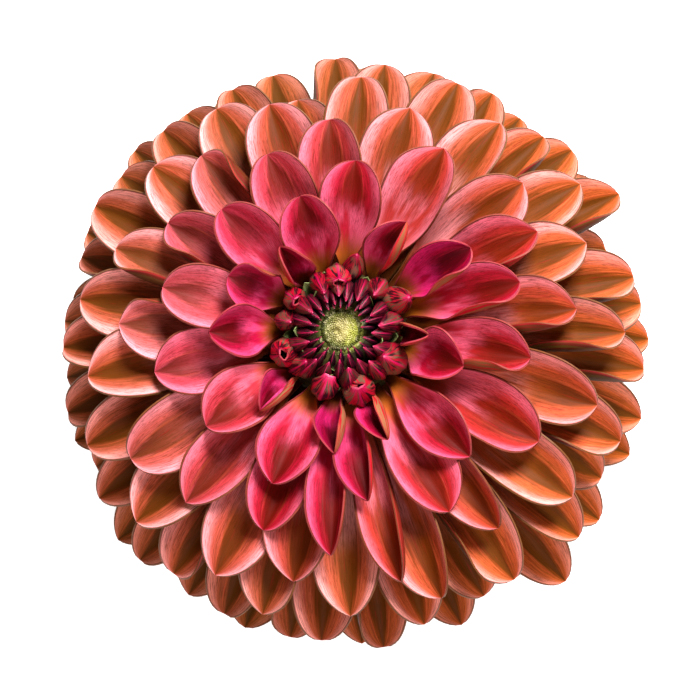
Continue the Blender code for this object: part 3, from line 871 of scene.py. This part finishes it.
class BudSurface:
    # A closed roll: one margin laps over the other down a seam that twists a little.
    def __init__(self, floret):
        self.floret = floret
        self.rows = {}
        draw = Random(700 + floret.number)
        self.seam = draw.uniform(0.4, 1.6) * pi
        self.twist = draw.uniform(0.3, 0.9) * draw.choice((-1, 1))
        self.folds = draw.choice((5, 6, 7))

    def __call__(self, u, v):
        shape = budShape
        floret = self.floret
        if u not in self.rows:
            swell = floret.budRadius
            if u < shape["plumpest"]:
                swell *= 0.5 + 0.5 * ease(u / shape["plumpest"])
            else:
                x = (u - shape["plumpest"]) / (1 - shape["plumpest"])
                swell *= (1 - x ** shape["taper"]) ** 0.95
            self.rows[u] = (floret.midline(u), *floret.frame(u), swell)
        centre, way, across, inward, swell = self.rows[u]
        angle = pi * v - pi / 2  # v = 0 is the back, which faces out and up
        shown = ease((u - 0.1) / 0.3)
        swell *= 1 + shape["ridge"] * exp(-(v / 0.07) ** 2) * shown
        lap = ((v * pi - self.seam - self.twist * u) / (2 * pi)) % 1
        swell *= 1 + shape["seamStep"] * (lap - ease((lap - 0.93) / 0.07) - 0.3) * shown
        swell *= 1 + shape["grooves"] * cos(self.folds * angle) * shown
        return centre + (across * cos(angle) + inward * sin(angle)) * swell


# The dark and vein ramps are partly the buds' own maroon and partly painted shade: they darken
# towards the eye as if the heart lay in a hollow.
budColours = {
    "dark": {0: (8, 0, 8), 0.6: (22, 0, 8), 1: (48, 0, 8)},
    "tan": (100, 72, 54),
    "veins": {0: (36, 0, 22), 0.6: (104, 0, 28), 1: (172, 0, 34)},
    "tip": (176, 0, 74),
    "point": (240, 110, 150),
    # painted shade at the buds' feet, between them
    "foot": (6, 2, 3),
}


def budSkin(name):
    look = budColours
    s = Shader(name)
    u, v = s.uv()
    grown = s.attribute("grown")
    luck = s.attribute("luck")
    bent = v + (s.grain(u * 3, v * 2.5, luck * 40, 1) - 0.5) * 0.2
    lines = s.grain(u * 1.6, bent * 10 + luck * 30, luck * 80, 2)
    threads = s.grain(u * 5, bent * 27, luck * 60, 2)
    patch = s.grain(u * 2, v * 2.2 + luck * 20, luck * 33, 1)
    tanned = s.rise(patch + (threads - 0.5) * 0.4, 0.46, 0.56) * s.rise(u, 0.25, 0.6)
    veins = s.ramp(grown, look["veins"])
    colour = s.cover(
        s.ramp(grown, look["dark"]),
        (tanned * s.rise(grown, 0.35, 0.95) * 0.9, look["tan"]),
        (s.rise(lines, 0.52, 0.56) * s.rise(u, 0.15, 0.5) * 0.9, veins),
        (s.rise(threads, 0.54, 0.58) * s.rise(u, 0.3, 0.6) * 0.75, veins),
        # Painted highlight: a magenta line down the back of each bud along its midrib.
        (s.fall(abs(v), 0.015, 0.05) * s.rise(u, 0.4, 0.8) * 0.8, look["tip"]),
        (s.rise(u + (threads - 0.5) * 0.4, 0.86, 0.97) * 0.9, look["tip"]),
        (s.rise(u, 0.96, 0.99) * 0.7, look["point"]),
        # Painted shade: each bud darkens to near black at its foot, between its neighbours.
        (s.fall(u, 0.15, 0.6) * 0.9, look["foot"]))
    s.bump(lines * 0.8 + threads * 0.6, 0.16 * mm, 0.9)
    return s.finish(colour, 0.32 + threads * 0.2, 0.3)


def addBuds(skin):
    bm = newMesh()
    closed = [number for number in range(-head["smallBuds"], head["firstInner"])
              if number not in head["empty"] and number not in mouthed]
    closed += [0.5 - i for i in budShape["youngest"]]  # between the first ones
    for number in closed:
        floret = Floret(number)
        if number % 1:
            floret.budRadius *= budShape["youngestSize"]
        addPatch(bm, budShape["rows"], budShape["columns"], BudSurface(floret), 0, floret.luck,
                 lambda t: 1 - (1 - t) ** 1.3, -budShape["sunk"] / floret.length, growth(number))
    closeHoles(bm)
    newPiece("buds", bm, [skin], "rolled_florets", sharp=50)


def closeHoles(bm, low=-1, high=1):
    # Fill the open rings that lie between two heights.
    openEdges = [edge for edge in bm.edges
                 if edge.is_boundary and low < edge.verts[0].co.z < high]
    if openEdges:
        bmesh.ops.holes_fill(bm, edges=openEdges, sides=0)


eyeShape = {
    "grains": 340,
    "spread": 0.88,  # of the eye's angle
    "grainWidth": (0.22, 0.08),  # mm in the middle, and how much more at the rim
    "grainHeight": (0.56, 0.9),
    "leanIn": 1.15,  # radians at the rim
    "dome": 13.4,
    "pit": (-0.9, -0.2),  # mm, the dark dimple beside the middle
    "pitDepth": 0.9,
    "pitSpread": 0.35,
    "clearOfPit": 0.3,  # no grain nearer than this, squared
}


def addEye(skin):
    shape = eyeShape
    bm = newMesh()
    draw = Random(31)

    def fromPit(point):  # its distance from the dimple, squared
        return (point.x - shape["pit"][0]) ** 2 + (point.y - shape["pit"][1]) ** 2

    def dome(u, v):  # the disc under the grains
        angle = head["eyeAngle"] * 0.98 * u
        point = headPoint(pi * v, angle, head["radius"] - shape["dome"])
        return point - up * exp(-fromPit(point) / shape["pitSpread"]) * shape["pitDepth"]

    addPatch(bm, 20, 48, dome, lambda u: u, 0.5)
    for i in range(shape["grains"]):
        edge = sqrt((i + 0.5) / shape["grains"])
        azimuth = head["goldenAngle"] * i
        angle = shape["spread"] * head["eyeAngle"] * edge
        foot = headPoint(azimuth, angle, 0.5)
        if fromPit(foot) < shape["clearOfPit"]:
            continue
        inMiddle, more = shape["grainWidth"]
        width = (inMiddle + more * edge) * draw.uniform(0.7, 1.2)
        inMiddle, more = shape["grainHeight"]
        height = (inMiddle + more * edge ** 2) * draw.uniform(0.86, 1.1)
        way = leaning(azimuth, angle - shape["leanIn"] * edge ** 2 + draw.uniform(-0.12, 0.12))
        across = outwards(azimuth + pi / 2)
        other = way.cross(across)

        def grainPoint(u, v):
            girth = width * sqrt(max(1 - u ** 2.6, 0)) * (0.8 + 0.2 * ease(u * 3))
            turn = pi * v
            side = across * cos(turn) + other * sin(turn)
            return foot + way * height * u + side * girth

        addPatch(bm, 5, 8, grainPoint, edge, draw.random())
    newPiece("eyeFlorets", bm, [skin], "eye", sharp=60)


eyeColours = {
    "middle": (146, 138, 78),
    "around": (98, 104, 32),
    "shaded": (84, 90, 32),
    "sunny": (168, 176, 58),
    "rim": (40, 44, 12),
    "speck": (204, 198, 146),
    "tip": (206, 200, 156),
}


def eyeSkin(name):
    look = eyeColours
    s = Shader(name)
    u = s.uv()[0]
    edge = s.attribute("layer")
    luck = s.attribute("luck")
    x, y, z = s.place()
    speck = s.grain(x * 900, y * 900, z * 900)
    shaded = s.fall(x * 0.9 + y * 0.1 + (speck - 0.5) * 0.004, -0.0035, 0.0008)
    sunny = s.rise(x * 0.9 - y * 0.2 + (speck - 0.5) * 0.003, 0.0004, 0.0024)
    tips = s.rise(u, 0.7, 1) * s.rise(luck, 0.5, 1) * s.fall(edge, 0.5, 0.9)
    colour = s.cover(
        look["middle"],
        (s.rise(edge, 0.3, 0.85), look["around"]),
        (shaded * 0.7, look["shaded"]),
        (sunny * 0.6, look["sunny"]),
        (s.rise(edge, 0.74, 0.96) * 0.85, look["rim"]),
        (s.rise(speck, 0.52, 0.66) * 0.5, look["speck"]),
        (tips * 0.5, look["tip"]))
    s.bump(speck, 0.1 * mm, 0.6)
    return s.finish(colour, 0.42 + speck * 0.1, 0.5)


scaleShape = {
    "count": 26,
    "first": -26.4,  # where the first stands on the spiral
    "step": 1.6,
    "sunk": 0.6,
    "lean": (16, 8),  # degrees, and most by chance
    "halfWidth": 1.7,
    "length": 5.8,
    "thickness": 0.16,
}


def addScales(skins):
    # Thin green scales that stand between the buds.
    shape = scaleShape
    bm = newMesh()
    draw = Random(77)
    for i in range(shape["count"]):
        number = shape["step"] * i + shape["first"]
        azimuth = head["firstAzimuth"] - head["goldenAngle"] * number + draw.uniform(-0.1, 0.1)
        angle = headAngle(number)
        foot = headPoint(azimuth, angle, shape["sunk"])
        lean, chance = shape["lean"]
        way = leaning(azimuth, angle - radians(lean + draw.uniform(-chance, chance)))
        across = outwards(azimuth + pi / 2)
        inward = way.cross(across)
        length = shape["length"] * draw.uniform(0.8, 1.15)

        def scalePoint(u, v):
            width = shape["halfWidth"] * (0.6 + 0.4 * sin(pi * u))
            width *= max(1 - u ** 4, 0) ** 0.6
            return (foot + way * length * u + across * width * v
                    + inward * (width * 0.35 * v * v + 0.3 * u * u))

        addPatch(bm, 10, 6, scalePoint, 0.5, draw.random())
    newPiece("scales", bm, skins, None, shape["thickness"])


def leafSkin(name, light, dark, foot, roughness):
    s = Shader(name)
    u, v = s.uv()
    luck = s.attribute("luck")
    veins = s.grain(u * 2.5, v * 12, luck * 50)
    netting = s.grain(u * 20, v * 20, luck * 20, 2)
    colour = s.cover(
        light,
        (s.rise(veins, 0.4, 0.65), dark),
        (s.rise(netting, 0.5, 0.7) * 0.3, dark),
        (s.fall(abs(v), 0.02, 0.07) * 0.5, light),
        (s.fall(u, 0, 0.35) * 0.6, foot))
    s.bump(veins * 0.6 + netting * 0.4, 0.15 * mm, 0.6)
    return s.finish(colour, roughness + netting * 0.1, 0.35)


bractRings = {  # mm; low and high bound the collar, bow is how far out and up the midrib goes
    "outerBracts": dict(node="outer_bracts", slot="green_bract", count=5, turn=0, low=18.4,
                        high=20.8, bow=((7.3, 19.6), (11, 21), (15, 18), (15.5, 9)),
                        halfWidth=3.2, cup=0.15, thickness=0.5),
    "innerBracts": dict(node="inner_bracts", slot="papery_bract", count=8, turn=13.5, low=22.4,
                        high=25.2, bow=((9.9, 24), (14, 26), (19, 24.5), (22, 21)),
                        halfWidth=3.6, cup=0.12, thickness=0.3),
}

bractShape = {
    "stretch": (0.92, 1.05),
    "lean": 0.12,
    "wave": 0.3,  # mm
    "collarOut": 1.14,  # mm from the stem to the collar's middle
    "collar": 0.60,
    "lobe": 0.25,  # how much thicker the collar is at each foot
}

stemShape = {
    "flareShare": 0.88,  # of the rows, up to the end of the flare
    "softness": 1.2,  # mm over which the flare starts and ends
    "radius": 4.3,
    "flareStart": 17,
    "flareEnd": 29,
    "flareRadius": 11.2,
    "cutFace": 0.5,
    "cutBelow": 0.75,  # faces lower than this are the cut end
    "ribs": 9,
    "ribHeight": 0.10,
    "seatRadius": 12,
}


def flareRadius(height):
    shape = stemShape
    share = (height - shape["flareStart"]) / (shape["flareEnd"] - shape["flareStart"])
    return shape["radius"] + (shape["flareRadius"] - shape["radius"]) * min(max(share, 0), 1)


def addBracts(name, skins):
    shape = bractShape
    ring = bractRings[name]
    bm = newMesh()
    for number in range(ring["count"]):
        azimuth = radians(ring["turn"] + 360 * number / ring["count"])
        draw = Random(100 * ring["count"] + number)
        stretch = draw.uniform(*shape["stretch"])
        lean = draw.uniform(-shape["lean"], shape["lean"])
        seed = number * 5.1

        def bractPoint(u, v):
            reach, height = (bow(*places, u) for places in zip(*ring["bow"]))
            foot = ring["bow"][0][0]
            reach = foot + (reach - foot) * stretch
            width = ring["halfWidth"] * (0.75 + 0.25 * sin(pi * u))
            width *= max(1 - u ** 3, 0) ** 0.6
            wave = shape["wave"] * noise.noise(Vector((u * 4, v * 2, seed)))
            centre = outwards(azimuth) * reach + up * height
            return (centre + outwards(azimuth + pi / 2) * (width * v + lean * width * u)
                    + up * (width * ring["cup"] * v * v + wave * ease(u / 0.3)))

        addPatch(bm, 24, 14, bractPoint, 0.5, draw.random())
    newPiece(name, bm, skins, ring["node"], ring["thickness"])
    addCollar(name + "Collar", ring, skins[0])


def addCollar(name, ring, skin):
    # The fleshy band that the bracts grow from, with a soft swelling at each foot.
    shape = bractShape
    bm = newMesh()
    count = ring["count"]
    middle = (ring["low"] + ring["high"]) / 2

    def collarPoint(u, v):
        turn = pi * v
        lobe = 0.5 + 0.5 * cos(count * (turn - radians(ring["turn"])))
        around = 2 * pi * u
        height = middle + (ring["high"] - ring["low"]) / 2 * sin(around)
        bulge = shape["collar"] + shape["lobe"] * lobe * max(cos(around), 0)
        reach = flareRadius(height) + shape["collarOut"] + bulge * cos(around)
        return outwards(turn) * reach + up * height

    addPatch(bm, 16, 96, collarPoint, 0.5, 0.4)
    newPiece(name, bm, [skin], ring["node"], sharp=60)


def addStem(skin, cutSkin):
    shape = stemShape
    bm = newMesh()
    rim = (shape["seatRadius"] * sin(head["bottom"]),
           head["height"] + shape["seatRadius"] * cos(head["bottom"]))
    lowest = shape["cutFace"] + 0.2

    def stemPoint(u, v):
        turn = pi * v
        part = shape["flareShare"]
        if u <= part:
            height = lowest + (shape["flareEnd"] - lowest) * u / part
            reach = flareRadius(height)
            blend = shape["softness"]
            reach = (flareRadius(height - blend) + 2 * reach + flareRadius(height + blend)) / 4
        else:
            t = (u - part) / (1 - part)
            reach = shape["flareRadius"] + (rim[0] - shape["flareRadius"]) * t
            height = shape["flareEnd"] + (rim[1] - shape["flareEnd"]) * t
        ribs = shape["ribHeight"] * cos(shape["ribs"] * turn) * ease(u / 0.1)
        return outwards(turn) * (reach + ribs) + up * height

    addPatch(bm, 40, 72, stemPoint, 0.5, 0.5)

    def underHead(u, v):
        reach = rim[0] * (1 - u) + 3 * u
        return outwards(pi * v) * reach + up * (rim[1] + 0.6 * u)

    addPatch(bm, 4, 72, underHead, 0.5, 0.5)
    bmesh.ops.remove_doubles(bm, verts=bm.verts[:], dist=0.01 * mm)
    closeHoles(bm, low=shape["flareEnd"] * mm)  # the top, and then the cut end
    closeHoles(bm)
    for face in bm.faces:
        face.material_index = int(face.calc_center_median().z < shape["cutBelow"] * mm)
    newPiece("stemStub", bm, [skin, cutSkin], "stem", sharp=40)


def stemSkin(name):
    s = Shader(name)
    x, y, z = s.place()
    turn = s.maths("ARCTAN2", y, x)
    lines = s.grain(turn * 6, z * 60, 3)
    blotches = s.grain(x * 160, y * 160, z * 90)
    colour = s.cover(
        (92, 122, 52),
        (s.rise(lines, 0.4, 0.62), (66, 96, 38)),
        (s.rise(blotches, 0.52, 0.68) * 0.5, (104, 66, 46)))
    s.bump(lines + blotches * 0.3, 0.12 * mm, 0.6)
    return s.finish(colour, 0.45 + blotches * 0.15, 0.4)


def cutSkin(name):
    # The cut end: a pale pith, a ring of fibres and the green rind.
    s = Shader(name)
    x, y = s.place()[:2]
    reach = (x * x + y * y) ** 0.5
    cells = s.grain(x * 1800, y * 1800, 0, 2)
    colour = s.cover(
        (222, 222, 178),
        (s.rise(reach, 1.6 * mm, 3 * mm), (150, 170, 96)),
        (s.rise(reach, 3.5 * mm, 4.1 * mm), (84, 112, 48)),
        (s.rise(cells, 0.5, 0.7) * 0.4, (186, 190, 132)))
    s.bump(cells, 0.1 * mm, 0.5)
    return s.finish(colour, 0.6 + cells * 0.1, 0.3)


headShape = {
    "from": 0.9,  # of the eye's angle
    "sunk": 0.15,
    "knob": 0.12,  # mm
    "knobs": (60, 34),  # radians down it, and half turns round it
}


def addHead(skin):
    # The skin of the head between the florets' feet.
    shape = headShape
    bm = newMesh()
    top = head["eyeAngle"] * shape["from"]
    bottom = head["bottom"] - 0.02
    down, around = shape["knobs"]

    def headSurface(u, v):
        angle = top + (bottom - top) * u
        knob = shape["knob"] * cos(around * pi * v) * cos(down * u)
        return headPoint(pi * v, angle, shape["sunk"] - knob)

    addPatch(bm, 40, 136, headSurface, 0.5, 0.5)
    for ring in (min, max):
        height = ring(vert.co.z for vert in bm.verts)
        closeHoles(bm, height - 0.01 * mm, height + 0.01 * mm)
    newPiece("headSkin", bm, [skin], None, sharp=60)


def headSkinLook(name):
    s = Shader(name)
    x, y, z = s.place()
    blotches = s.grain(x * 400, y * 400, z * 400)
    colour = s.mix(s.rise(blotches, 0.4, 0.65), (40, 30, 14), (72, 66, 26))
    s.bump(blotches, 0.2 * mm, 0.6)
    return s.finish(colour, 0.6 + blotches * 0.1, 0.25)


def addFloor(setup):
    bm = bmesh.new()
    bmesh.ops.create_grid(bm, x_segments=2, y_segments=2, size=setup["floorSize"] / 2)
    glow = {"Emission Color": setup["glowColour"], "Emission Strength": setup["floorGlow"]}
    paint = Shader("floorPaint").finish(setup["floorColour"], 0.9, 0.1, **glow)
    floor = newObject("floor", bm, [paint])


placeCamera(cameraSetup)
setStudio(studio)
petalSkins = [petalSkin("petalUpper"), reverseSkin("petalReverse"),
              edgeSkin("petalEdge", (150, 40, 56), (100, 58, 18))]
addPetals(petalSkins)
budLook = budSkin("budSkin")
addRolls([petalSkins[0], budLook, petalSkins[2]])
addBuds(budLook)
addEye(eyeSkin("eyeSkin"))
scaleSkin = leafSkin("scaleSkin", (126, 142, 84), (70, 88, 48), (34, 36, 18), 0.35)
addScales([scaleSkin] * 3)
addHead(headSkinLook("headSkin"))
greenLeaf = leafSkin("greenBract", (104, 132, 62), (62, 92, 38), (80, 100, 44), 0.5)
paperyLeaf = leafSkin("paperyBract", (186, 178, 118), (136, 132, 72), (120, 126, 60), 0.55)
addBracts("outerBracts", [greenLeaf] * 3)
addBracts("innerBracts", [paperyLeaf] * 3)
addStem(stemSkin("stemSkin"), cutSkin("stemCut"))
addFloor(studio)
print("pieces made")
